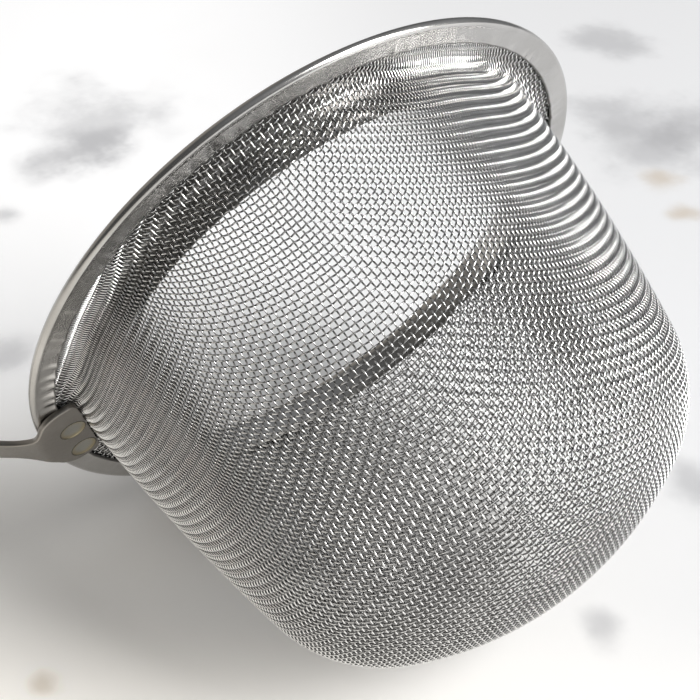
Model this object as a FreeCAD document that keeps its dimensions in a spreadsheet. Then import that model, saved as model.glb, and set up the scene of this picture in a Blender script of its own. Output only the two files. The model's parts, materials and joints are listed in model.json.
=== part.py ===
import FreeCAD, Part
import math
import os
import re
import Sketcher
from FreeCAD import Placement, Rotation, Vector

# A tea infuser: a deep cup of woven steel wire cloth, its brim clamped in a sheet-metal rim ring,
# and a strap handle spot-welded under the ring. It lies on its side, as it is put down on a table:
# on the ring's hem, on the cup's lower corner and on the tip of the handle.
#
# Every piece is drawn about the cup's axis. The middle of the clamped brim is z = 0, the mouth
# faces +Z and the handle leaves along +X. One placement then lays all the pieces down together.

SIZES = {
    # rim ring: one stamping with a collar, a flange, a hem and a return under the flange
    "brim_width": 5.85,
    "sheet": 0.4,
    "collar_gap": 1.25,
    "collar_depth": 4.3,
    "collar_bend": 0.8,
    "return_width": 3.05,
    # wire cloth cup, as thick as two crossing wires; the ring is sized from its neck
    "neck_radius": 34.15,
    "wire": 0.2,
    "brim_gap": 0.1,
    "neck_flare": 1.6,
    "neck_draft": 4.9,
    "foot_draft": 13.1,
    "wall_height": 33.15,
    "corner_radius": 17.2,
    "crown_draft": 62.15,
    # the cloth's openwork, as a plain grid of ribs in place of its wires
    "rib_width": 4.4,
    "hub_reach": 4.2,
    # strap handle, side view
    "strap": 0.8,
    "root_gap": 0.6,
    "fold_radius": 2.0,
    "rise_angle": 30.0,
    "rise_length": 10.0,
    "knee_radius": 8.0,
    "grip_angle": 6.0,
    "grip_length": 90.0,
    # strap handle, plan
    "root_width": 13.2,
    "root_corner": 1.2,
    "shoulder_inset": 3.4,
    "shoulder_radius": 3.4,
    "waist_radius": 4.6,
    "waist_width": 4.2,
    "grip_width": 8.4,
    "hang_hole": 2.0,
    # spot welds
    "weld_radius": 1.6,
    "weld_spacing": 5.4,
    "weld_shift": -1.5,
    "weld_inset": 3.4,
    "dish_radius": 8.0,
    "dish_depth": 0.15,
}
COLUMNS, CROWN_COLUMNS = 12, 8  # openings once round the wall and corner, and round the bottom
WALL_ROWS, CORNER_ROWS, CROWN_ROWS = 2, 1, 1
SCRAP = 2.0  # how far the trimmed-off blank reaches past the handle's outline
FINE = 0.02  # how closely the handle is measured to find where its tip meets the table
STILL = 1e-9  # how finely, in radians, the roll that brings the tip down is found

doc = FreeCAD.newDocument("tea_infuser")
sheet = doc.addObject("Spreadsheet::Sheet", "Sizes")
for row, (alias, size) in enumerate(SIZES.items(), start=1):
    sheet.set(f"A{row}", alias)
    sheet.set(f"B{row}", str(size))
    sheet.setAlias(f"B{row}", alias)
doc.recompute()


def tied(formula):
    """The formula with each size's name pointed at its cell in the sheet."""
    return re.sub(r"[a-z_]+", lambda m: "Sizes." + m[0] if m[0] in SIZES else m[0], formula)


def value(formula):
    return float(sheet.evalExpression(tied(formula)))


def sketch(body, name, role):
    """An empty sketch on one of the body's own origin planes."""
    plane = next(f for f in body.Origin.OriginFeatures if f.Role == role)
    drawing = body.newObject("Sketcher::SketchObject", name)
    drawing.AttachmentSupport = [(plane, "")]
    drawing.MapMode = "FlatFace"
    return drawing


def tie(drawing, kind, edge, point, formula):
    """Holds a point's X or Y distance from the sketch's origin to a formula of the sheet."""
    axis = {"DistanceX": -2, "DistanceY": -1}[kind]
    if formula == "0":
        drawing.addConstraint(Sketcher.Constraint("PointOnObject", edge, point, axis))
        return
    held = Sketcher.Constraint(kind, -1, 1, edge, point, value(formula))
    number = drawing.addConstraint(held)
    drawing.setExpression(f".Constraints[{number}]", tied(formula))


def loop(drawing, steps):
    """Draws a closed loop. Each step ends at (x, y); an arc adds its centre and +1 for
    anticlockwise or -1 for clockwise. The first step starts where the last one ends."""
    corners = [Vector(value(step[0]), value(step[1]), 0) for step in steps]
    ends = []
    for number, step in enumerate(steps):
        start, end = corners[number - 1], corners[number]
        if len(step) == 2:
            edge = drawing.addGeometry(Part.LineSegment(start, end), False)
            ends.append((edge, 1, 2))
            continue
        centre = Vector(value(step[2]), value(step[3]), 0)
        angles = [math.atan2((p - centre).y, (p - centre).x) for p in (start, end)]
        circle = Part.Circle(centre, Vector(0, 0, 1), centre.distanceToPoint(start))
        edge = drawing.addGeometry(Part.ArcOfCircle(circle, *angles[:: step[4]]), False)
        ends.append((edge, 1, 2) if step[4] > 0 else (edge, 2, 1))
    for number, step in enumerate(steps):
        edge, _, last = ends[number]
        before, _, joined = ends[number - 1]
        first = ends[number][1]
        drawing.addConstraint(Sketcher.Constraint("Coincident", before, joined, edge, first))
        tie(drawing, "DistanceX", edge, last, step[0])
        tie(drawing, "DistanceY", edge, last, step[1])
        if len(step) > 2:
            chord = corners[number] - corners[number - 1]
            upright = abs(chord.y) > abs(chord.x)
            tie(drawing, "DistanceX" if upright else "DistanceY", edge, 3, step[2 if upright else 3])


def hole(drawing, x, y, radius):
    """Draws a circle with its centre and radius tied to the sheet."""
    centre = Vector(value(x), value(y), 0)
    edge = drawing.addGeometry(Part.Circle(centre, Vector(0, 0, 1), value(radius)), False)
    tie(drawing, "DistanceX", edge, 3, x)
    tie(drawing, "DistanceY", edge, 3, y)
    number = drawing.addConstraint(Sketcher.Constraint("Radius", edge, value(radius)))
    drawing.setExpression(f".Constraints[{number}]", tied(radius))


def new_body(name):
    body = doc.addObject("PartDesign::Body", name)
    body.Label = name
    return body


def revolve(body, drawing):
    """Turns the drawing's closed profile all the way round the Z axis."""
    turned = body.newObject("PartDesign::Revolution", f"{body.Name}_turned")
    turned.Profile = drawing
    turned.ReferenceAxis = (drawing, ["V_Axis"])
    turned.Angle = 360.0
    drawing.Visibility = False
    doc.recompute()


def cut_through(body, drawing, name):
    """Cuts the drawing's area through the body both ways, and makes sure that it did cut."""
    before = body.Shape.Volume
    pocket = body.newObject("PartDesign::Pocket", name)
    pocket.Profile = drawing
    pocket.Type = "ThroughAll"
    pocket.SideType = "Symmetric"
    doc.recompute()
    if not body.Shape.Volume < before:
        raise RuntimeError(f"{name} cuts nothing")


def open_all_round(body, drawing, columns, rib):
    """Cuts the drawing's bands through the body in equal columns about Z, a rib's angle apart."""
    before = body.Shape.Volume
    groove = body.newObject("PartDesign::Groove", f"{drawing.Name}_column")
    groove.Profile = drawing
    groove.ReferenceAxis = (drawing, ["V_Axis"])
    groove.setExpression("Angle", tied(f"360 / {columns} - {rib}"))
    doc.recompute()
    pattern = body.newObject("PartDesign::PolarPattern", f"{drawing.Name}_all_round")
    pattern.Originals = [groove]
    pattern.Axis = (drawing, ["V_Axis"])
    pattern.Angle = 360.0
    pattern.Occurrences = columns
    body.Tip = pattern
    drawing.Visibility = False
    doc.recompute()
    if not body.Shape.Volume < before:
        raise RuntimeError(f"{drawing.Name} cuts nothing")


# Places that more than one piece needs, as formulas of the sheet.
RING = "(neck_radius + brim_width)"  # outside of the ring
BORE = "(neck_radius - collar_gap - sheet)"  # inside of the collar
HEM_X = f"({RING} - wire - sheet)"  # centre of the hem's round
SEAT_Z = "(-wire - sheet)"  # underside of the return, where the handle seats
NECK_X = "(neck_radius + neck_flare * cos(neck_draft))"
NECK_Z = "(-wire - neck_flare)"
WALL = "(wall_height / (sin(foot_draft) - sin(neck_draft)))"  # radius of the bowed wall
WALL_X = f"(neck_radius - {WALL} * cos(neck_draft))"
WALL_Z = f"({NECK_Z} + (neck_flare + {WALL}) * sin(neck_draft))"
CORNER_X = f"({WALL_X} + ({WALL} - corner_radius) * cos(foot_draft))"
CORNER_Z = f"({WALL_Z} - ({WALL} - corner_radius) * sin(foot_draft))"
CROWN = f"(corner_radius + {CORNER_X} / cos(crown_draft))"  # radius of the domed bottom
CROWN_Z = f"({CORNER_Z} + ({CROWN} - corner_radius) * sin(crown_draft))"


def build_rim_ring():
    """Collar, flange, hem and return of one sheet, with the cloth's brim held in the hem."""
    body = new_body("rim_ring")
    drawing = sketch(body, "rim_section", "XZ_Plane")
    bend_x = f"({BORE} + sheet + collar_bend)"
    bend_z = "(wire - collar_bend)"
    inner = f"({RING} - return_width)"
    loop(drawing, [
        (BORE, "-collar_depth"),
        (f"{BORE} + sheet", "-collar_depth"),
        (f"{BORE} + sheet", bend_z),
        (bend_x, "wire", bend_x, bend_z, -1),
        (HEM_X, "wire"),
        (HEM_X, "-wire", HEM_X, "0", -1),
        (inner, "-wire"),
        (inner, "-wire - sheet"),
        (HEM_X, "-wire - sheet"),
        (HEM_X, "wire + sheet", HEM_X, "0", 1),
        (bend_x, "wire + sheet"),
        (BORE, bend_z, bend_x, bend_z, 1),
    ])
    revolve(body, drawing)
    return body


def build_mesh_basket():
    """The drawn cup as one closed shell: brim, flare, bowed wall, corner and domed bottom. The
    arcs of the inside share their centres with those of the outside, one cloth apart."""
    body = new_body("mesh_basket")
    drawing = sketch(body, "cup_section", "XZ_Plane")
    brim_x = f"({HEM_X} - brim_gap)"

    def on_arc(centre_x, centre_z, radius, angle):
        """The point of an arc where its wall leans by the angle from the axis."""
        return f"({centre_x} + {radius} * cos({angle}))", f"({centre_z} - {radius} * sin({angle}))"

    def skin(cloth):
        """Ends of the arcs, bottom to brim, for the outside (0) or the inside (one cloth in)."""
        return {
            "pole": ("0", f"({CROWN_Z} - ({CROWN} - {cloth}))"),
            "crown": on_arc("0", CROWN_Z, f"({CROWN} - {cloth})", "crown_draft"),
            "foot": on_arc(CORNER_X, CORNER_Z, f"(corner_radius - {cloth})", "foot_draft"),
            "neck": on_arc(WALL_X, WALL_Z, f"({WALL} - {cloth})", "neck_draft"),
            "brim": (NECK_X, f"({NECK_Z} + neck_flare + {cloth})"),
        }

    out, into = skin("0"), skin("2 * wire")
    loop(drawing, [
        out["pole"],
        (*out["crown"], "0", CROWN_Z, 1),
        (*out["foot"], CORNER_X, CORNER_Z, 1),
        (*out["neck"], WALL_X, WALL_Z, 1),
        (*out["brim"], NECK_X, NECK_Z, -1),
        (brim_x, "-wire"),
        (brim_x, "wire"),
        into["brim"],
        (*into["neck"], NECK_X, NECK_Z, 1),
        (*into["foot"], WALL_X, WALL_Z, -1),
        (*into["crown"], CORNER_X, CORNER_Z, -1),
        (*into["pole"], "0", CROWN_Z, -1),
    ])
    revolve(body, drawing)

    def turn(length, radius):
        """The angle in degrees that a length takes on an arc of the radius."""
        return f"({length} / {radius} * 180 / pi)"

    def bands(name, rows):
        """A sketch of bands across the cloth. Each row is an arc's centre and radius, the angles
        where its cloth starts and ends, and the number of openings between them."""
        drawing = sketch(body, name, "XZ_Plane")
        for centre_x, centre_z, radius, first, last, count in rows:
            step, rib = f"(({last} - {first}) / {count})", turn("rib_width / 2", radius)
            inner, outer = f"({radius} - 4 * wire)", f"({radius} + 2 * wire)"
            for number in range(count):
                high = f"({first} + {number} * {step} + {rib})"
                low = f"({first} + {number + 1} * {step} - {rib})"
                loop(drawing, [
                    on_arc(centre_x, centre_z, inner, high),
                    on_arc(centre_x, centre_z, inner, low),
                    on_arc(centre_x, centre_z, outer, low),
                    on_arc(centre_x, centre_z, outer, high),
                ])
        return drawing

    side = bands("wall_openings", [
        (WALL_X, WALL_Z, WALL, "neck_draft", "foot_draft", WALL_ROWS),
        (CORNER_X, CORNER_Z, "corner_radius", "foot_draft", "crown_draft", CORNER_ROWS),
    ])
    open_all_round(body, side, COLUMNS, turn("rib_width", "neck_radius"))
    hub = f"(90 - {turn('hub_reach', CROWN)})"
    bottom = bands("crown_openings", [("0", CROWN_Z, CROWN, "crown_draft", hub, CROWN_ROWS)])
    open_all_round(body, bottom, CROWN_COLUMNS, turn("rib_width", f"({CROWN} * cos(crown_draft))"))
    return body


def build_handle():
    """A strap with a wide root seated under the return, folded up clear of the ring's edge and
    bent level again. The blank is padded from its side view, then trimmed to its plan."""
    body = new_body("handle")
    drawing = sketch(body, "strap_side", "XZ_Plane")
    root_x = "(neck_radius + root_gap)"
    fold_z = f"({SEAT_Z} + fold_radius)"
    rise_x = f"({RING} + fold_radius * sin(rise_angle) + rise_length * cos(rise_angle))"
    rise_z = f"({fold_z} - fold_radius * cos(rise_angle) + rise_length * sin(rise_angle))"
    knee_x = f"({rise_x} + (knee_radius + strap) * sin(rise_angle))"
    knee_z = f"({rise_z} - (knee_radius + strap) * cos(rise_angle))"

    def off_knee(radius, angle):
        """The point at a radius about the knee's centre, where the strap climbs at the angle."""
        return f"({knee_x} - {radius} * sin({angle}))", f"({knee_z} + {radius} * cos({angle}))"

    def off_fold(radius):
        return f"({RING} + {radius} * sin(rise_angle))", f"({fold_z} - {radius} * cos(rise_angle))"

    level_x, level_z = off_knee("(knee_radius + strap)", "grip_angle")
    under_x, under_z = off_knee("knee_radius", "grip_angle")
    run = f"(grip_length + {SCRAP}) * cos(grip_angle)"
    climb = f"(grip_length + {SCRAP}) * sin(grip_angle)"
    blank_x = f"({root_x} - {SCRAP})"
    loop(drawing, [
        (blank_x, SEAT_Z),
        (blank_x, f"({SEAT_Z} - strap)"),
        (RING, f"({SEAT_Z} - strap)"),
        (*off_fold("(fold_radius + strap)"), RING, fold_z, 1),
        off_knee("knee_radius", "rise_angle"),
        (under_x, under_z, knee_x, knee_z, -1),
        (f"({under_x} + {run})", f"({under_z} + {climb})"),
        (f"({level_x} + {run})", f"({level_z} + {climb})"),
        (level_x, level_z),
        (rise_x, rise_z, knee_x, knee_z, 1),
        off_fold("fold_radius"),
        (RING, SEAT_Z, RING, fold_z, -1),
    ])
    blank = body.newObject("PartDesign::Pad", "strap_blank")
    blank.Profile = drawing
    blank.SideType = "Symmetric"
    blank.setExpression("Length", tied(f"root_width + {SCRAP}"))
    doc.recompute()

    plan = sketch(body, "strap_plan", "XY_Plane")
    half, waist, grip = "(root_width / 2)", "(waist_width / 2)", "(grip_width / 2)"
    both = "(shoulder_radius + waist_radius)"
    lean = f"(1 - ({half} - {waist}) / {both})"  # cosine of the S-curve's steepest angle
    shoulder_x = f"({RING} - shoulder_inset)"
    waist_x = f"({shoulder_x} + {both} * sqrt(1 - {lean}^2))"
    joint_x = f"({shoulder_x} + shoulder_radius * sqrt(1 - {lean}^2))"
    joint_y = f"({half} - shoulder_radius * (1 - {lean}))"
    corner_x = f"({root_x} + root_corner)"
    corner_y = f"({half} - root_corner)"
    round_x = f"({level_x} + grip_length * cos(grip_angle) - {grip})"
    loop(plan, [
        (corner_x, f"-{half}", corner_x, f"-{corner_y}", 1),
        (shoulder_x, f"-{half}"),
        (joint_x, f"-{joint_y}", shoulder_x, f"-({half} - shoulder_radius)", 1),
        (waist_x, f"-{waist}", waist_x, f"-({waist} + waist_radius)", -1),
        (round_x, f"-{grip}"),
        (round_x, grip, round_x, "0", 1),
        (waist_x, waist),
        (joint_x, joint_y, waist_x, f"({waist} + waist_radius)", -1),
        (shoulder_x, half, shoulder_x, f"({half} - shoulder_radius)", 1),
        (corner_x, half),
        (root_x, corner_y, corner_x, corner_y, 1),
        (root_x, f"-{corner_y}"),
    ])
    edge_x, edge_y = f"({blank_x} - {SCRAP})", f"({half} + {SCRAP})"
    far_x = f"({round_x} + {grip} + 2 * {SCRAP})"
    loop(plan, [
        (edge_x, f"-{edge_y}"),
        (far_x, f"-{edge_y}"),
        (far_x, edge_y),
        (edge_x, edge_y),
    ])
    cut_through(body, plan, "trim_to_plan")

    holes = sketch(body, "strap_holes", "XY_Plane")
    hole(holes, round_x, "0", "hang_hole")
    for side in ("+", "-"):
        weld_y = f"(weld_shift {side} weld_spacing / 2)"
        hole(holes, f"({RING} - weld_inset)", weld_y, "weld_radius")
    cut_through(body, holes, "strap_holes_cut")
    return body


def build_spot_welds():
    """Two nuggets of melted metal through the handle's root, each dished by the electrode."""
    nuggets = []
    for side, sign in (("near", "+"), ("far", "-")):
        x = f"{RING} - weld_inset"
        y = f"weld_shift {sign} weld_spacing / 2"
        plug = doc.addObject("Part::Cylinder", f"{side}_plug")
        plug.setExpression("Radius", tied("weld_radius"))
        plug.setExpression("Height", tied("strap"))
        plug.setExpression("Placement.Base.x", tied(x))
        plug.setExpression("Placement.Base.y", tied(y))
        plug.setExpression("Placement.Base.z", tied(f"{SEAT_Z} - strap"))
        dish = doc.addObject("Part::Sphere", f"{side}_dish")
        dish.setExpression("Radius", tied("dish_radius"))
        dish.setExpression("Placement.Base.x", tied(x))
        dish.setExpression("Placement.Base.y", tied(y))
        dish.setExpression("Placement.Base.z", tied(f"{SEAT_Z} - strap + dish_depth - dish_radius"))
        nugget = doc.addObject("Part::Cut", f"{side}_nugget")
        nugget.Base = plug
        nugget.Tool = dish
        nuggets.append(nugget)
    pair = doc.addObject("Part::Compound", "spot_welds")
    pair.Label = "spot_welds"
    pair.Links = nuggets
    doc.recompute()
    return pair


def lie_down(handle):
    """The placement that lays the infuser down. It leans until the hem and the cup's corner
    touch the table together, and is rolled until the tip of the handle touches it too."""
    hem_x, hem_round = value(HEM_X), value("wire + sheet")
    across = hem_x - value(CORNER_X)
    along = value(CORNER_Z)
    wanted = value("corner_radius") - hem_round
    lean = math.atan2(along, across) + math.acos(wanted / math.hypot(across, along))
    hem_reach = hem_x * math.cos(lean) + hem_round
    points = handle.Shape.tessellate(FINE)[0]

    def down(roll):
        """The way down, in the cup's own frame, with the handle rolled by so much from it."""
        level = math.cos(lean)
        return Vector(level * math.cos(roll), -level * math.sin(roll), -math.sin(lean))

    low, high = 0.0, math.pi / 2
    while high - low > STILL:
        roll = (low + high) / 2
        way = down(roll)
        if max(point.dot(way) for point in points) > hem_reach:
            low = roll
        else:
            high = roll
    up = down(roll) * -1
    to_bottom = Vector(0, 0, -1) + up * up.z
    to_bottom.normalize()
    turn = Rotation(to_bottom, up.cross(to_bottom), up, "ZXY").inverted()
    return Placement(Vector(0, 0, hem_reach), turn)


rim_ring = build_rim_ring()
mesh_basket = build_mesh_basket()
handle = build_handle()
spot_welds = build_spot_welds()
pieces = [rim_ring, mesh_basket, handle, spot_welds]

lying = lie_down(handle)
for piece in pieces:
    piece.Placement = lying
doc.recompute()
box = Part.makeCompound([piece.Shape for piece in pieces]).optimalBoundingBox()
lying.Base = lying.Base - Vector(box.Center.x, box.Center.y, box.ZMin)
for piece in pieces:
    piece.Placement = lying
doc.recompute()

for thing in doc.Objects:
    if {"Invalid", "Error"} & set(thing.State):
        raise RuntimeError(f"{thing.Label} failed: {thing.State}")
for piece in pieces:
    if piece.Shape.isNull() or not piece.Shape.isValid():
        raise RuntimeError(f"{piece.Label} has no valid shape")

os.makedirs("parts", exist_ok=True)
for piece in pieces:
    piece.Shape.exportStep(os.path.join("parts", f"{piece.Label}.step"))
    extent = piece.Shape.optimalBoundingBox()
    print(f"{piece.Label}: {len(piece.Shape.Solids)} solids, {piece.Shape.Volume:.1f} mm3, "
          f"z {extent.ZMin:.3f} to {extent.ZMax:.3f}")
print("placement", lying)
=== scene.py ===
"""A tea infuser lying on its side: wire-cloth basket, pressed rim ring, strip handle and two spot welds."""
import json

import bpy
import numpy as np
from mathutils import Matrix


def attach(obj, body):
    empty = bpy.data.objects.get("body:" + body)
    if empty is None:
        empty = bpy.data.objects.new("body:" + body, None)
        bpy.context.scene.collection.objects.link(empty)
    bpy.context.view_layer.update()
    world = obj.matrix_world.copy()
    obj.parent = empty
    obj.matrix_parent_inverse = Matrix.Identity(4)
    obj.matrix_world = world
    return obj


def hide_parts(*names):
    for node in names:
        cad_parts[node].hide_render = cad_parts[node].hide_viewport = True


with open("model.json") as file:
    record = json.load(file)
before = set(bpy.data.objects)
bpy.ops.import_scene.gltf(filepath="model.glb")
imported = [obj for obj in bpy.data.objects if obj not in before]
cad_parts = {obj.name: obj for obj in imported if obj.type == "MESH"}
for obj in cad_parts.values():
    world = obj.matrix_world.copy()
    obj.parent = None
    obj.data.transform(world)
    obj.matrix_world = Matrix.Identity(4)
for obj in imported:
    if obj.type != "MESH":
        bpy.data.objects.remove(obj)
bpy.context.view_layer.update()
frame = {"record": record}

# ---- Stand, window and camera.
# The infuser lies on a pale marble table beside one tall soft window. The rest of the light is the plain
# room round it, which is a little brighter on the window's side and has a warm wall behind on the left, and
# light painted onto the table top as a glow.
scene = bpy.context.scene
scene.view_settings.view_transform = "Standard"


class Field:
    """A value that changes over a surface: one output socket. Sums on it add Math nodes to its material."""

    def __init__(self, tree, socket=None):
        self.tree, self.socket = tree, socket

    def feed(self, socket, value):
        """Links a Field to socket, or sets it to a plain value."""
        if isinstance(value, Field):
            self.tree.links.new(value.socket, socket)
        else:
            socket.default_value = value

    def node(self, kind, settings=(), out=0, **sockets):
        """The output of one new node: first its settings are set, then its sockets by name or by _number."""
        made = self.tree.nodes.new("ShaderNode" + kind)
        for name, value in dict(settings).items():
            setattr(made, name, value)
        for name, value in sockets.items():
            self.feed(made.inputs[int(name[1:]) if name[0] == "_" else name.replace("_", " ")], value)
        return Field(self.tree, made.outputs[out])

    def sum(self, operation, a, b):
        return self.node("Math", {"operation": operation}, _0=a, _1=b)

    def __add__(self, other):
        return self.sum("ADD", self, other)

    def __sub__(self, other):
        return self.sum("SUBTRACT", self, other)

    def __rsub__(self, other):
        return self.sum("SUBTRACT", other, self)

    def __mul__(self, other):
        return self.sum("MULTIPLY", self, other)

    __radd__ = __add__
    __rmul__ = __mul__

    def along(self, direction):
        """How far this point lies along the unit vector direction."""
        return self.node("VectorMath", {"operation": "DOT_PRODUCT"}, out=1, _0=self, _1=direction)

    def from_point(self, point):
        """The distance from this point to another."""
        return self.node("VectorMath", {"operation": "DISTANCE"}, out=1, _0=self, _1=point)

    def over(self, low, high, a=0.0, b=1.0):
        """a where this is low and below, b where it is high and above, and a smooth step between."""
        return self.node(
            "MapRange", {"interpolation_type": "SMOOTHSTEP"}, _0=self, _1=low, _2=high, _3=a, _4=b
        )

    def noise(self, at, scale, detail=2.0, roughness=0.5, distortion=0.0):
        """Smooth noise at the point at, with about scale cells a metre; its mean is 0.5."""
        return self.node(
            "TexNoise", _0=at, Scale=scale, Detail=detail, Roughness=roughness, Distortion=distortion
        )

    def blend(self, factor, first, second):
        """The colour first where factor is 0, second where it is 1."""
        return self.node("Mix", {"data_type": "RGBA"}, out=2, _0=factor, _6=first, _7=second)


def finish(name, build):
    """A material whose surface sockets build(field, place) gives, with place the point in metres."""
    made = bpy.data.materials.new(name)
    made.use_nodes = True
    field = Field(made.node_tree)
    shader = made.node_tree.nodes["Principled BSDF"]
    place = field.node("TexCoord", out=3)
    for name, value in build(field, place).items():
        field.feed(shader.inputs[name.replace("_", " ")], value)
    return made


def surface(name, points, *faces):
    """A smooth mesh object from points, as (..., 3) in metres, and whole arrays of triangles or quads."""
    mesh = bpy.data.meshes.new(name)
    points = np.reshape(points, (-1, 3))
    mesh.vertices.add(len(points))
    mesh.vertices.foreach_set("co", points.ravel())
    corners = np.concatenate([f.ravel() for f in faces])
    counts = np.concatenate([np.full(len(f), f.shape[1]) for f in faces])
    mesh.loops.add(len(corners))
    mesh.loops.foreach_set("vertex_index", corners)
    mesh.polygons.add(len(counts))
    mesh.polygons.foreach_set("loop_start", np.cumsum(counts) - counts)
    mesh.update(calc_edges=True)
    mesh.validate()
    mesh.shade_smooth()
    made = bpy.data.objects.new(name, mesh)
    scene.collection.objects.link(made)
    return made


# The camera stands at EYE and looks TILT below level, and its right is HEADING round from X.
EYE = np.array([0.10116, -0.0283, 0.14263])
HEADING, TILT = np.radians([53.94, 40.834])
right = np.array([np.cos(HEADING), np.sin(HEADING), 0.0])
away = np.array([-np.sin(HEADING), np.cos(HEADING), 0.0])
ahead = np.cos(TILT) * away - np.sin(TILT) * np.array([0.0, 0.0, 1.0])

# Stains in the marble, grey and brown: middle along X and Y, and reach, in metres.
GREY = np.array(
    [
        [-0.120, 0.069, 0.022],
        [-0.111, 0.053, 0.009],
        [-0.110, 0.065, 0.010],
        [-0.062, 0.154, 0.012],
        [-0.046, 0.152, 0.016],
        [-0.049, 0.166, 0.014],
        [-0.083, 0.177, 0.012],
        [0.022, 0.091, 0.007],
        [0.032, 0.063, 0.0045],
        [-0.065, 0.023, 0.008],
        [-0.100, 0.040, 0.004],
    ]
)
BROWN = np.array([[-0.037, 0.145, 0.006], [-0.027, 0.140, 0.005], [-0.003, 0.000, 0.0035]])
RIM_REST = (-0.0236, 0.0483, 0.0)  # where the rim stands on the table


def table_top(field, place):
    """Pale honed marble with stains, warmer in front and duller to the right.

    A glow that only the camera and reflections see paints light onto the floor, warm in front and strongest
    on the left further back; it is taken out round where the rim stands, which paints a shadow there.
    """
    ragged = field.node("TexNoise", out=1, _0=place, Scale=60.0, Detail=4.0, Roughness=0.6)

    def stained(stains):
        """Faint clouds all over, plus a blot round each stain's middle that noise pushes out of round."""
        total = field.noise(place, 9.0, 4.0, 0.6, 0.5).over(0.45, 0.85, 0.0, 0.25)
        for x, y, reach in stains:
            push = field.node("VectorMath", {"operation": "SCALE"}, _0=ragged, _3=1.6 * reach)
            moved = field.node("VectorMath", {"operation": "ADD"}, _0=place, _1=push)
            far = moved.from_point(np.array([x, y, 0.0]) + 0.8 * reach)
            total = total + far.over(0.1 * reach, 1.1 * reach, 0.7, 0.0)
        return total.over(0.0, 1.3)

    rightward, back = place.along(right), place.along(away)
    colour = field.blend(back.over(0.02, 0.07), (0.98, 0.95, 0.895, 1), (0.95, 0.95, 0.955, 1))
    colour = field.blend(rightward.over(-0.04, 0.13), colour, (0.78, 0.785, 0.80, 1))
    colour = field.blend(stained(GREY), colour, (0.36, 0.36, 0.375, 1))
    colour = field.blend(stained(BROWN), colour, (0.50, 0.40, 0.28, 1))
    # Painted light: a glow that brightens the floor, most on the left, faint in the middle and warm in
    # front.
    glow = field.blend(rightward.over(-0.01, 0.06), (0.21, 0.21, 0.21, 1), (0.05, 0.05, 0.05, 1))
    glow = field.blend(back.over(0.03, 0.075), (0.05, 0.05, 0.05, 1), glow)
    glow = field.blend(back.over(-0.004, 0.016), (0.155, 0.145, 0.128, 1), glow)
    # Painted shadow: no glow round where the rim stands.
    glow = field.blend(place.from_point(RIM_REST).over(0.008, 0.045), (0, 0, 0, 1), glow)
    camera_ray, glossy_ray, transmission_ray = (field.node("LightPath", out=kind) for kind in (0, 3, 6))
    seen = camera_ray + glossy_ray + transmission_ray
    grain = field.noise(place, 900.0, 3.0, 0.6)
    return {
        "Base_Color": colour,
        "Roughness": grain.over(0.2, 0.8, 0.42, 0.52),
        "Specular_IOR_Level": 0.3,
        "Emission_Color": field.blend(seen, (0, 0, 0, 1), glow),
        "Emission_Strength": 1.0,
    }


FLOOR = 12.0  # half the table top's side, so that it reaches the horizon
corners = FLOOR * np.array([[-1, -1, 0], [1, -1, 0], [1, 1, 0], [-1, 1, 0]])
floor = surface("floor", corners, np.array([[0, 1, 2, 3]]))
floor.data.materials.append(finish("table_top", table_top))


def toward(turn, rise):
    """The direction turn degrees from the camera's right to what lies away from it, and rise degrees up."""
    turn, rise = np.radians([turn, rise])
    level = np.cos(turn) * right + np.sin(turn) * away
    return np.cos(rise) * level + np.sin(rise) * np.array([0.0, 0.0, 1.0])


world = bpy.data.worlds.new("room")
scene.world = world
world.use_nodes = True
sky = Field(world.node_tree)
looking = sky.node("TexCoord", out=0)
warm_wall, bright_side = looking.along(toward(150, 15)), looking.along(toward(5, 45))
room = sky.blend(warm_wall.over(0.5, 0.95), (0.10, 0.10, 0.10, 1), (0.42, 0.395, 0.365, 1))
room = sky.blend(bright_side.over(0.1, 1.0), room, (0.31, 0.318, 0.33, 1))
sky.feed(world.node_tree.nodes["Background"].inputs["Color"], room)

# The window is an upright area lamp, 1.2 m from the infuser's middle and facing it.
MIDDLE = np.array([0.0, 0.04, 0.035])
back = toward(-19, 35)
side = np.cross((0.0, 0.0, 1.0), back)
side = side / np.linalg.norm(side)
light = bpy.data.lights.new("window", "AREA")
light.shape = "RECTANGLE"
light.size, light.size_y = 0.54, 1.14
light.energy, light.color = 22.5, (1.0, 0.995, 0.985)
window = bpy.data.objects.new("window", light)
scene.collection.objects.link(window)
turned = Matrix(np.stack([side, np.cross(back, side), back], 1).tolist())
window.matrix_world = Matrix.Translation(MIDDLE + 1.2 * back) @ turned.to_4x4()

lens = bpy.data.cameras.new("camera")
lens.sensor_width, lens.lens, lens.clip_start = 36.0, 69.08, 0.01
camera = bpy.data.objects.new("camera", lens)
scene.collection.objects.link(camera)
turned = Matrix(np.stack([right, np.cross(right, ahead), -ahead], 1).tolist())
camera.matrix_world = Matrix.Translation(EYE) @ turned.to_4x4()
scene.camera = camera

# ---- Basket: plain-woven stainless cloth, 0.2 mm wire at a pitch of 0.76 mm, pressed into a deep cup.
# A woven cloth takes a cup shape without stretching: its wires keep their pitch and the squares shear into
# diamonds. The flat brim is clamped in the rim's hem.
PITCH, WIRE, CRIMP = 0.76, 0.2, 0.1
GRAIN = 78.5  # degrees from the handle round to a wire that runs straight down the wall
NET_END = 38.2  # radius where the clamped wires are cut

# Cup frame, in millimetres: the cup's axis is Z with the mouth up, the brim's middle is at height 0, and the
# handle runs along X. The outside of the cup is a domed crown that meets a round corner CROWN degrees off
# straight down, a bowed wall from FOOT to DRAFT degrees off, and a flare out to the brim.
NECK, FLARE, WALL_HEIGHT, CORNER = 34.15, 1.6, 33.15, 17.2
DRAFT, FOOT, CROWN = 4.9, 13.1, 62.15


def leaning(degrees):
    """The outward unit normal, across and up, of a wall that leans in so many degrees towards its foot."""
    return np.array([np.cos(np.radians(degrees)), -np.sin(np.radians(degrees))])


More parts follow.
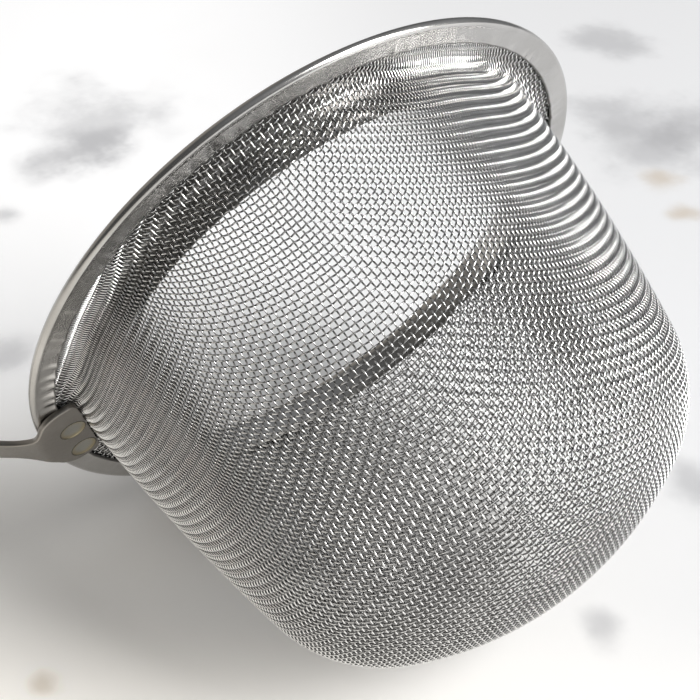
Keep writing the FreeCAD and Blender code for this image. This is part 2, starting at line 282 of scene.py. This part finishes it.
bow = WALL_HEIGHT / (np.sin(np.radians(FOOT)) - np.sin(np.radians(DRAFT)))  # radius of the bowed wall
flare_at = np.array([NECK + FLARE * leaning(DRAFT)[0], -WIRE - FLARE])
bow_at = flare_at - (FLARE + bow) * leaning(DRAFT)
corner_at = bow_at + (bow - CORNER) * leaning(FOOT)
dome = CORNER + corner_at[0] / leaning(CROWN)[0]
dome_at = corner_at - (dome - CORNER) * leaning(CROWN)
# Middle of the cloth as arcs: centre radius and height, arc radius, first and last angle.
cup = np.array(
    [
        [*dome_at, dome - WIRE, -90, -CROWN],
        [*corner_at, CORNER - WIRE, -CROWN, -FOOT],
        [*bow_at, bow - WIRE, -FOOT, -DRAFT],
        [*flare_at, FLARE + WIRE, 180 - DRAFT, 90],
    ]
)
angle = np.radians(np.linspace(cup[:, 3], cup[:, 4], 400))
walk = (cup[:, 0] + cup[:, 2] * np.cos(angle)).T.ravel()
climb = (cup[:, 1] + cup[:, 2] * np.sin(angle)).T.ravel()
# The flat brim goes on 4 mm past the net's end, so that the last crossings have neighbours.
walk = np.concatenate([walk, np.linspace(flare_at[0], NET_END + 4, 80)])
climb = np.concatenate([climb, np.zeros(80)])
arc = np.concatenate([[0], np.cumsum(np.hypot(np.diff(walk), np.diff(climb)))])
STEP = 0.01
steps = np.arange(0, arc[-1], STEP)
profile = np.stack([np.interp(steps, arc, walk), np.interp(steps, arc, climb)])
slope = np.gradient(profile, steps, axis=1)

# The record's mounts place the cup frame. The collar's bore is round its axis, from COLLAR_TOP down, and the
# hanging hole is at the handle's side.
COLLAR_TOP = -0.6
mounts = {mount["name"]: mount for mount in frame["record"]["mounts"]}
bore = mounts["collar_bore"]
cup_z = np.array(bore["axis"])
cup_middle = np.array(bore["pos_m"]) * 1000 + (bore["dims"]["length_mm"] / 2 - COLLAR_TOP) * cup_z
cup_x = np.array(mounts["hang_hole"]["pos_m"]) * 1000 - cup_middle
cup_x -= cup_x.dot(cup_z) * cup_z
cup_x /= np.linalg.norm(cup_x)
cup_axes = np.stack([cup_x, np.cross(cup_z, cup_x), cup_z])


def placed(points):
    """Points in the cup frame, in millimetres, as metres in the object's frame."""
    return (points @ cup_axes + cup_middle) * 0.001


def on_cup(s, turn):
    """The cloth's middle at arc length s from the crown's centre and angle turn, and its change with each.

    Radius and height come from the profile at s, and the radius is carried round the axis by turn.
    """
    r, z = (np.interp(s, steps, row) for row in profile)
    dr, dz = (np.interp(s, steps, row) for row in slope)
    c, d = np.cos(turn), np.sin(turn)
    return (
        np.stack([r * c, r * d, z], -1),
        np.stack([dr * c, dr * d, dz], -1),
        np.stack([-r * d, r * c, 0 * r], -1),
    )


ROUNDS = 25  # of Newton's method
MOST_ALONG, MOST_ROUND = 0.3, 0.05  # longest step of a round, in millimetres and radians
CLOSE = 1e-4  # how near to a pitch a found crossing's wires have to be


def woven_quarter(count, reach):
    """Arc length and angle of the crossings in one quarter of the net, NaN past reach.

    Two wires cross at right angles on the crown's centre and run straight down the wall. Every other
    crossing is the point of the cup one pitch from its two neighbours nearer the centre, found by Newton's
    method a diagonal at a time.
    """
    s, turn = np.full((2, count, count), np.nan)
    s[:, 0] = s[0, :] = np.arange(count) * PITCH
    turn[:, 0], turn[0, :], turn[0, 0] = 0, np.pi / 2, 0
    for diagonal in range(2, 2 * count - 1):
        i = np.arange(max(1, diagonal - count + 1), min(count - 1, diagonal - 1) + 1)
        nearer = s[i - 1, diagonal - i] + s[i, diagonal - i - 1] + s[i - 1, diagonal - i - 1]
        i = i[np.isfinite(nearer)]
        j = diagonal - i
        if len(i) == 0:
            continue
        a, b, c = (on_cup(s[p], turn[p])[0] for p in ((i - 1, j), (i, j - 1), (i - 1, j - 1)))
        guess = a + b - c
        at = np.maximum(s[i - 1, j] + s[i, j - 1] - s[i - 1, j - 1], 0.1)
        way = np.arctan2(guess[:, 1], guess[:, 0])
        for _ in range(ROUNDS):
            here, along, across = on_cup(at, way)
            da, db = here - a, here - b
            fa, fb = (da**2).sum(1) - PITCH**2, (db**2).sum(1) - PITCH**2
            m = 2 * np.stack([(gap * change).sum(1) for gap in (da, db) for change in (along, across)])
            det = m[0] * m[3] - m[1] * m[2]
            det = np.where(np.abs(det) < 1e-9, 1e-9, det)
            move = (fa * m[3] - m[1] * fb) / det, (m[0] * fb - m[2] * fa) / det
            calm = np.maximum(np.abs(move[0]) / MOST_ALONG, np.abs(move[1]) / MOST_ROUND).clip(1)
            at, way = at - move[0] / calm, way - move[1] / calm
        here = on_cup(at, way)[0]
        miss = [np.abs(np.linalg.norm(here - near, axis=1) - PITCH) for near in (a, b)]
        unfolded = np.linalg.norm(here - c, axis=1) > 0.3 * PITCH
        good = (np.maximum(*miss) < CLOSE) & unfolded & (at < reach)
        s[i[good], j[good]], turn[i[good], j[good]] = at[good], way[good]
    return s, turn


COUNT = 107  # crossings along a wire from the crown's centre to past the brim
quarter_s, quarter_turn = woven_quarter(COUNT, arc[-1] - 1)

# Drawn cloth can't shut its diamonds fully. Half way between the straight wires, high on the wall, they stay
# open and push the rest of the cloth round a little.
OPEN_FROM, OPEN_OVER, PUSH, OPEN_WIDTH = 48, 20, 4, 5.5  # arc length in millimetres, and angles in degrees
off_bias = quarter_turn - np.pi / 4
held = ((quarter_s - OPEN_FROM) / OPEN_OVER).clip(0, 1)
held = np.radians(PUSH) * held**2 * (3 - 2 * held)
quarter_turn += held * (np.tanh(off_bias / np.radians(OPEN_WIDTH)) - off_bias / (np.pi / 4))

span = 2 * COUNT - 1
net_s, net_turn = np.full((2, span, span), np.nan)
for k in range(4):  # the other quarters are the first, turned
    i, j = np.mgrid[0:COUNT, 0:COUNT]
    for _ in range(k):
        i, j = -j, i
    net_s[i + COUNT - 1, j + COUNT - 1] = quarter_s
    net_turn[i + COUNT - 1, j + COUNT - 1] = quarter_turn + k * np.pi / 2
net_turn += np.radians(GRAIN)

net, run, sweep = on_cup(net_s, net_turn)
net[net[..., 0] ** 2 + net[..., 1] ** 2 > NET_END**2] = np.nan
outward = np.cross(sweep, run)
outward[COUNT - 1, COUNT - 1] = (0, 0, -1)
outward /= np.linalg.norm(outward, axis=-1, keepdims=True)
weave = (-1.0) ** np.add.outer(np.arange(span), np.arange(span))[..., None] * CRIMP

SIDES = 6  # of a wire
BENT = 0.22  # share of the pitch from a crossing to the bends either side of it


def wires(points, normals, over):
    """Round wires along a net's rows: vertices, how proud each stands from 0 to 1, quads, and their rows.

    Each wire stands over * the normal off the net at a crossing and the other way at the next. Two rings of
    vertices a crossing, BENT of a pitch before and after it, leave it straight between crossings.
    """
    after, before = np.roll(points, -1, 1), np.roll(points, 1, 1)
    after[:, -1] = before[:, 0] = np.nan
    lone = np.isnan(after) & np.isnan(before)
    # Past a wire's end its last step goes on, so that the end crossing has its two rings as well.
    on = np.where(np.isnan(after), 2 * points - before, after)
    back = np.where(np.isnan(before), 2 * points - after, before)
    on[lone] = back[lone] = np.nan
    rings = np.stack([points + BENT * (back - points), points + BENT * (on - points)], 2)
    rows = (rings + (over * normals)[:, :, None]).reshape(len(points), -1, 3)
    up = np.repeat(normals, 2, 1)
    heading = np.empty_like(rows)
    heading[:, 1:-1] = rows[:, 2:] - rows[:, :-2]
    heading[:, 0], heading[:, -1] = rows[:, 1] - rows[:, 0], rows[:, -1] - rows[:, -2]
    at_end = np.isnan(heading).any(-1, keepdims=True)
    heading = np.where(at_end, np.repeat(on - back, 2, 1), heading)
    heading /= np.linalg.norm(heading, axis=-1, keepdims=True)
    aside = np.cross(heading, up)
    aside /= np.linalg.norm(aside, axis=-1, keepdims=True)
    up = np.cross(aside, heading)
    around = ((np.arange(SIDES) + 0.5) * 2 * np.pi / SIDES)[:, None]
    spokes = np.cos(around) * aside[:, :, None] + np.sin(around) * up[:, :, None]
    tube = rows[:, :, None] + WIRE / 2 * spokes
    proud = np.abs(np.repeat(over, 2, 1) + WIRE / 2 * np.sin(around[:, 0])) / (CRIMP + WIRE / 2)
    there = np.isfinite(tube).all((2, 3))
    number = np.cumsum(there.ravel()).reshape(there.shape) - 1
    row, column = np.nonzero(there[:, :-1] & there[:, 1:])
    k = np.arange(SIDES)
    first, second = number[row, column][:, None] * SIDES, number[row, column + 1][:, None] * SIDES
    wall = np.stack([first + k, second + k, second + (k + 1) % SIDES, first + (k + 1) % SIDES], -1)
    starts = there & ~np.pad(there, ((0, 0), (1, 0)))[:, :-1]
    ends = there & ~np.pad(there, ((0, 0), (0, 1)))[:, 1:]
    cap = np.array([[0, 1, 2, 3], [0, 3, 4, 5]])  # a hexagon as two quads
    quads = [
        wall,
        number[starts][:, None, None] * SIDES + cap,
        number[ends][:, None, None] * SIDES + cap[:, ::-1],
    ]
    owner = [np.repeat(row, SIDES), np.repeat(np.nonzero(starts)[0], 2), np.repeat(np.nonzero(ends)[0], 2)]
    quads = np.concatenate([part.reshape(-1, 4) for part in quads])
    return tube[there].reshape(-1, 3), proud[there].ravel(), quads, np.concatenate(owner)


def cloth_wire(field, place):
    """Drawn stainless wire with an uneven tone, with a painted highlight (and some real rubbing) where it
    stands proud and painted shade on its sides and between crossings.
    """
    # Painted light and shade: the proud tops of the weave are painted bright, its sides and hollows painted
    # dark.
    rubbed_and_lit = field.node("Attribute", {"attribute_name": "proud"}, out=2).over(0.42, 0.85)
    tone = field.noise(place, 260.0, 3.0, 0.6).over(0.3, 0.7)
    spots = field.noise(place, 2600.0, 2.0, 0.5)
    shaded_wire = field.blend(tone, (0.21, 0.208, 0.203, 1), (0.28, 0.278, 0.272, 1))
    lit_wire = field.blend(tone, (0.85, 0.847, 0.84, 1), (0.93, 0.928, 0.922, 1))
    colour = field.blend(rubbed_and_lit, shaded_wire, lit_wire)
    return {"Base_Color": colour, "Metallic": 1.0, "Roughness": spots.over(0.25, 0.75, 0.12, 0.22)}


SHARES = 4  # pieces that each family of wires is split into
wire_finish = finish("cloth_wire", cloth_wire)
for family, grid, normals, over in (
    ("warp", net, outward, weave),
    ("weft", net.swapaxes(0, 1), outward.swapaxes(0, 1), -weave.swapaxes(0, 1)),
):
    points, high, faces, owner = wires(grid, normals, over)
    done = np.cumsum(np.bincount(owner, minlength=span)) / len(owner)
    for part in range(SHARES):
        rows = np.nonzero((done > part / SHARES) & (done <= (part + 1) / SHARES))[0]
        mine = faces[(owner >= rows[0]) & (owner <= rows[-1])]
        used, mine = np.unique(mine, return_inverse=True)
        piece = surface(f"mesh_{family}_{part + 1}", placed(points[used]), mine.reshape(-1, 4))
        proud = piece.data.attributes.new("proud", "FLOAT", "POINT")
        proud.data.foreach_set("value", high[used])
        piece.data.materials.append(wire_finish)
        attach(piece, "root")
        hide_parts("mesh_basket")

# ---- Rim ring: one stainless sheet 0.4 mm thick, drawn and pressed.
# A collar stands inside the cloth's neck, the flange turns out flat, and its edge is rolled round the
# cloth's brim into a hem whose return is pressed down, which leaves small wrinkles along its edge.
SHEET, BEND, RING, RETURN = 0.4, 0.8, 40.0, 36.95
BORE, COLLAR_END = bore["dims"]["r_mm"], COLLAR_TOP - bore["dims"]["length_mm"]
HALF = WIRE + SHEET  # from the brim's middle to the rim's faces
HEM = RING - HALF  # radius of the hem's middle
NIP = 0.12  # rounding of the sheet's cut edges


def arc_of(r, z, radius, first, last, count):
    """Points on an arc about (r, z), from first to last in degrees."""
    a = np.radians(np.linspace(first, last, count))
    return np.stack([r + radius * np.cos(a), z + radius * np.sin(a)], 1)


def line_of(a, b, count):
    """Points from a to b, with neither end."""
    return np.linspace(a, b, count + 2)[1:-1]


bend_r = BORE + SHEET + BEND  # radius at which the collar's bend has its centre
section = np.concatenate(
    [
        arc_of(BORE + NIP, COLLAR_END + NIP, NIP, 270, 180, 3),
        line_of((BORE, COLLAR_END + NIP), (BORE, COLLAR_TOP), 3),
        arc_of(bend_r, COLLAR_TOP, BEND + SHEET, 180, 90, 9),
        line_of((bend_r, HALF), (HEM, HALF), 6),
        arc_of(HEM, 0, HALF, 90, -90, 15),
        line_of((HEM, -HALF), (RETURN + NIP, -HALF), 12),
        arc_of(RETURN + NIP, NIP - HALF, NIP, 270, 180, 4),
        arc_of(RETURN + NIP, -WIRE - NIP, NIP, 180, 90, 4),
        line_of((RETURN + NIP, -WIRE), (HEM, -WIRE), 12),
        arc_of(HEM, 0, WIRE, -90, 90, 7),
        line_of((HEM, WIRE), (bend_r, WIRE), 6),
        arc_of(bend_r, COLLAR_TOP, BEND, 90, 180, 7),
        line_of((BORE + SHEET, COLLAR_TOP), (BORE + SHEET, COLLAR_END + NIP), 3),
        arc_of(BORE + SHEET - NIP, COLLAR_END + NIP, NIP, 0, -90, 3),
    ]
)

# The wrinkles, 1.2 to 2.4 mm apart, are small bell-shaped dents and rises across the return, deepest at its
# edge. The whole return lies PRESSED into the cloth.
PRESSED = 0.07
TURNS = 1000
theta = np.arange(TURNS) * 2 * np.pi / TURNS
r, z = np.repeat(section[None], TURNS, 0).transpose(2, 0, 1).copy()
rng = np.random.default_rng(7)
wrinkle = np.zeros(TURNS)
for at in np.cumsum(rng.uniform(1.2, 2.4, 150)) / HEM:
    width = rng.uniform(0.35, 0.6) / HEM
    apart = (theta - at + np.pi) % (2 * np.pi) - np.pi
    wrinkle += rng.uniform(-0.28, 0.1) * np.exp(-((apart / width) ** 2))
in_return = (section[:, 1] < -WIRE / 2) & (section[:, 0] > RETURN - 0.1)
inward = np.where(in_return, ((HEM - section[:, 0]) / (HEM - RETURN)).clip(0, 1), 0)
z += inward**1.3 * wrinkle[:, None] + PRESSED * (inward / 0.12).clip(0, 1)
ring_points = np.stack([r * np.cos(theta)[:, None], r * np.sin(theta)[:, None], z], -1)
n, m = r.shape
i, j = (a.ravel() for a in np.mgrid[0:n, 0:m])
i2, j2 = (i + 1) % n, (j + 1) % m
ring_faces = np.stack([i * m + j, i * m + j2, i2 * m + j2, i2 * m + j], 1)


def pressed_steel(field, place):
    """Bright pressed sheet with cloudy wear, matt and darker on its sheared edges."""
    tone = field.noise(place, 120.0, 4.0, 0.6)
    fine = field.noise(place, 1800.0, 3.0, 0.6)
    cut = field.node("Attribute", {"attribute_name": "cut"}, out=2)
    colour = field.blend(tone.over(0.35, 0.7), (0.47, 0.46, 0.445, 1), (0.55, 0.54, 0.525, 1))
    colour = field.blend(cut, colour, (0.20, 0.195, 0.185, 1))
    return {"Base_Color": colour, "Metallic": 1.0, "Roughness": fine.over(0.2, 0.8, 0.18, 0.22) + cut * 0.3}


ring = surface("pressed_rim", placed(ring_points), ring_faces)
sheared = (section[:, 1] < COLLAR_END + 1.2 * NIP) | (in_return & (section[:, 0] < RETURN + 1.2 * NIP))
cut = ring.data.attributes.new("cut", "FLOAT", "POINT")
cut.data.foreach_set("value", np.tile(sheared, TURNS).astype(float))
ring.data.materials.append(finish("pressed_steel", pressed_steel))
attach(ring, "root")
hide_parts("rim_ring")

# ---- Handle: one strip of stainless sheet 0.8 mm thick, blanked and bent.
# Its wide root lies flat under the flange's return and is spot welded there; past the rim it folds up, then
# runs out nearly level as the grip, with a round end and a hanging hole.
STRAP, ROOT_IN, FOLD_X = 0.8, 34.35, 39.7  # thickness, and where the root and the fold begin along X
FOLD, KNEE = 1.6, 8.0  # inside radii of the two bends
RISE, RISE_LENGTH, GRIP, GRIP_LENGTH = 37.0, 7.9, 6.0, 91.3  # angle above level, in degrees, and length
rise, grip = np.radians(RISE), np.radians(GRIP)
root_z = -HALF - STRAP / 2
fold_r, knee_r = FOLD + STRAP / 2, KNEE + STRAP / 2
legs = np.array([FOLD_X - ROOT_IN, fold_r * rise, RISE_LENGTH, knee_r * (rise - grip), GRIP_LENGTH])
knots = np.concatenate([[0], np.cumsum(legs)])
total = knots[-1]


def strap_middle(s):
    """The strip's middle line at length s from its root: place along X and Z, and angle above level.

    The angle is nothing at the root, grows evenly through the fold, stays for the rise, shrinks evenly
    through the knee and stays for the grip. The place is the running sum of its cosine and sine.
    """
    angles = [0, 0, rise, rise, grip, grip]
    fine = np.linspace(0, total, 8001)
    at = np.interp(fine, knots, angles)
    at = (at[1:] + at[:-1]) / 2
    x, z = (np.concatenate([[0], np.cumsum(step)]) * fine[1] for step in (np.cos(at), np.sin(at)))
    return ROOT_IN + np.interp(s, fine, x), root_z + np.interp(s, fine, z), np.interp(s, knots, angles)


ROOT_W, ROOT_CORNER, WAIST_W, GRIP_W = 13.2, 1.2, 4.2, 8.4
SHOULDER_X, SHOULDER_R, WAIST_R = 36.6, 3.4, 4.6  # where the S begins along X, and its arcs' radii
ROUND_X = strap_middle(total)[0] - GRIP_W / 2  # middle of the round end and of the hole


def half_width(x):
    """Half the strip's width at x: round root corners, an S of two arcs, a widening grip and a round end."""
    root, waist, far = ROOT_W / 2, WAIST_W / 2, GRIP_W / 2
    lean = 1 - (root - waist) / (SHOULDER_R + WAIST_R)
    across = np.sqrt(1 - lean**2)
    joint, waist_x = SHOULDER_X + SHOULDER_R * across, SHOULDER_X + (SHOULDER_R + WAIST_R) * across
    corner = ROOT_CORNER - (x - ROOT_IN).clip(0, ROOT_CORNER)
    w = root - ROOT_CORNER + np.sqrt((ROOT_CORNER**2 - corner**2).clip(0))
    shoulder = root - SHOULDER_R + np.sqrt((SHOULDER_R**2 - (x - SHOULDER_X) ** 2).clip(0))
    w = np.where(x > SHOULDER_X, shoulder, w)
    w = np.where(x > joint, waist + WAIST_R - np.sqrt((WAIST_R**2 - (waist_x - x) ** 2).clip(0)), w)
    w = np.where(x > waist_x, waist + (far - waist) * (x - waist_x) / (ROUND_X - waist_x), w)
    return np.where(x > ROUND_X, np.sqrt((far**2 - (x - ROUND_X) ** 2).clip(0)), w)


# Rows of points across the strip lie close at its corners, root and waist, and round the hanging hole.
HOLE = mounts["hang_hole"]["dims"]["r_mm"]
SHAPED = 14.0  # length of the part with the root and the waist
hole_x = ROUND_X - HOLE * np.cos(np.radians(np.linspace(4, 176, 36)))
hole_s = total - (strap_middle(total)[0] - hole_x) / np.cos(grip)
s = np.concatenate(
    [
        np.linspace(0, ROOT_CORNER, 14),
        np.linspace(ROOT_CORNER, SHAPED, 110)[1:],
        np.linspace(SHAPED, hole_s[0], 170)[1:-1],
        hole_s,
        total - GRIP_W / 2 + GRIP_W / 2 * np.sin(np.radians(np.linspace(33, 87, 24))),
    ]
)
x, height, tilt = strap_middle(s)

# Each row goes round the strip: across its upper face, down a rounded edge, back across and up the other.
ACROSS, EDGE = 48, 0.25
half = np.maximum(half_width(x), EDGE + 0.1)
flat_top = (half[:, None] - EDGE) * np.linspace(-1, 1, ACROSS)
holed = (x >= hole_x[0] - 1e-9) & (x <= hole_x[-1] + 1e-9)
gap = np.sqrt((HOLE**2 - (x[holed] - ROUND_X) ** 2).clip(0))[:, None]
share = np.linspace(0, 1, ACROSS // 2)
flat_top[holed, : ACROSS // 2] = flat_top[holed, :1] * (1 - share) - gap * share
flat_top[holed, ACROSS // 2 :] = gap * (1 - share) + flat_top[holed, -1:] * share
round_edge = np.radians([30, 60, 90, 90, 60, 30])
bevel = EDGE * np.sin(round_edge)
across = np.concatenate([flat_top, flat_top[:, -1:] + bevel, flat_top[:, ::-1], flat_top[:, :1] - bevel], 1)
side_z = EDGE * np.cos(round_edge[:3]) + STRAP / 2 - EDGE
face_z = np.full(ACROSS, STRAP / 2)
thick = np.concatenate([face_z, side_z, -side_z[::-1], -face_z, -side_z, side_z[::-1]])
thick = np.broadcast_to(thick, across.shape).copy()

# The electrode leaves a shallow bowl in the root's underside at each weld: places, radius and depth.
WELDS, DISH_W, DISH = np.array([[36.2, 1.2], [36.2, -4.2]]), 1.85, 0.26
at_x = x[:, None] + 0 * across
for weld_x, weld_y in WELDS:
    near = np.hypot(at_x - weld_x, across - weld_y) / DISH_W
    thick += np.where(thick < 0, DISH * (1 - near**2).clip(0, 1), 0)
strap_points = np.stack(
    [at_x - thick * np.sin(tilt)[:, None], across, height[:, None] + thick * np.cos(tilt)[:, None]], -1
)

# Faces between rows leave a slit at the hole, whose wall then joins the strip's two faces, and lids shut the
# ends.
n, m = across.shape
left, right_of = ACROSS // 2 - 1, ACROSS // 2
under_right, under_left = m // 2 + left, m // 2 + right_of
i, j = (a.ravel() for a in np.mgrid[0 : n - 1, 0:m])
slit = np.isin(j, (left, under_right)) & holed[i] & holed[i + 1]
i, j = i[~slit], j[~slit]
j2 = (j + 1) % m
strap_faces = np.stack([i * m + j, (i + 1) * m + j, (i + 1) * m + j2, i * m + j2], 1)
k = np.arange(m // 2 - 1)
lid = np.stack([k, k + 1, m - 2 - k, m - 1 - k], 1)
lids = np.concatenate([lid, (lid + (n - 1) * m)[:, ::-1]])
rows = np.nonzero(holed)[0] * m
a, b = rows[:-1], rows[1:]
hole_faces = np.concatenate(
    [
        np.stack([a + left, b + left, b + under_left, a + under_left], 1),
        np.stack([b + right_of, a + right_of, a + under_right, b + under_right], 1),
        rows[0] + np.array([[right_of, left, under_left, under_right]]),
        rows[-1] + np.array([[left, right_of, under_right, under_left]]),
    ]
)


def brushed_steel(field, place):
    """Warm satin steel with a fine grain and heat-browned cloudiness."""
    tone = field.noise(place, 90.0, 4.0, 0.6)
    fine = field.noise(place, 2500.0, 3.0, 0.6)
    colour = field.blend(tone.over(0.35, 0.7), (0.28, 0.263, 0.24, 1), (0.35, 0.33, 0.305, 1))
    satin = fine.over(0.2, 0.8, 0.3, 0.42)
    bump = field.node("Bump", Strength=0.2, Distance=0.00003, Height=fine)
    return {"Base_Color": colour, "Metallic": 1.0, "Roughness": satin, "Normal": bump}


strap = surface("strip_handle", placed(strap_points), strap_faces, lids, hole_faces)
strap.data.materials.append(finish("brushed_steel", brushed_steel))
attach(strap, "root")
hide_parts("handle")

# ---- Spot welds: two steel nuggets, melted from the handle's root and the rim between electrodes.
# What shows of each is the electrode's shallow dimple under the root, 3.7 mm across, with a raised rim and a
# straw-brown heat tint.
NUGGET, RINGS, ROUND = 1.75, 26, 72  # radius, rings of points, and points to a ring
PROUD, DEEP = 0.012, 0.25  # how far the nugget stands off the root's bowl, and how deep its edge goes in
RIM_AT, RIM_WIDE, RIM_RISE = 0.93, 0.05, 0.03  # the rim's place and width, in nugget radii, and its height


def weld_metal(field, place):
    """Dished bright steel, straw towards the rim that ran hottest, with a dark line of painted shade in the
    crease round its edge.
    """
    out = field.node("Attribute", {"attribute_name": "out"}, out=2)
    tone = field.noise(place, 900.0, 3.0, 0.6)
    fine = field.noise(place, 4000.0, 3.0, 0.6)
    straw = (out + (tone - 0.5) * 0.5).over(0.45, 0.9)
    colour = field.blend(straw, (0.40, 0.395, 0.36, 1), (0.40, 0.35, 0.235, 1))
    # Painted shade: a dark line round the dimple's edge, where its crease meets the root.
    colour = field.blend(out.over(0.86, 0.97), colour, (0.12, 0.11, 0.09, 1))
    return {"Base_Color": colour, "Metallic": 1.0, "Roughness": fine.over(0.2, 0.8, 0.19, 0.25)}


weld_finish = finish("dished_weld", weld_metal)
turn = np.arange(ROUND) * 2 * np.pi / ROUND
rho, phi = np.meshgrid(np.linspace(0.02, 1, RINGS) ** 0.8, turn, indexing="ij")
rim = RIM_RISE * np.exp(-(((rho - RIM_AT) / RIM_WIDE) ** 2))
bowl = DISH * (1 - (rho * NUGGET / DISH_W) ** 2) - PROUD - rim
i, j = (a.ravel() for a in np.mgrid[0 : RINGS - 1, 0:ROUND])
j2 = (j + 1) % ROUND
quads = np.stack([i * ROUND + j, i * ROUND + j2, (i + 1) * ROUND + j2, (i + 1) * ROUND + j], 1)
k = np.arange(ROUND // 2 - 1)
hub = np.stack([k, k + 1, ROUND - 2 - k, ROUND - 1 - k], 1)  # closes a ring of points at the middle
last = (RINGS - 1) * ROUND
k = np.arange(ROUND)
wall = last + np.stack([k, (k + 1) % ROUND, ROUND + (k + 1) % ROUND, ROUND + k], 1)
for name, (wx, wy) in zip(("near_weld", "far_weld"), WELDS):
    dimple = [wx + NUGGET * rho * np.cos(phi), wy + NUGGET * rho * np.sin(phi), bowl - HALF - STRAP]
    face = np.stack(dimple, -1)
    weld_points = np.concatenate([face.reshape(-1, 3), face[-1] + [0, 0, DEEP]])
    weld = surface(name, placed(weld_points), quads, hub[:, ::-1], wall, hub + last + ROUND)
    out = weld.data.attributes.new("out", "FLOAT", "POINT")
    out.data.foreach_set("value", np.concatenate([rho.ravel(), np.ones(ROUND)]))
    weld.data.materials.append(weld_finish)
    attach(weld, "root")
    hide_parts("spot_welds")
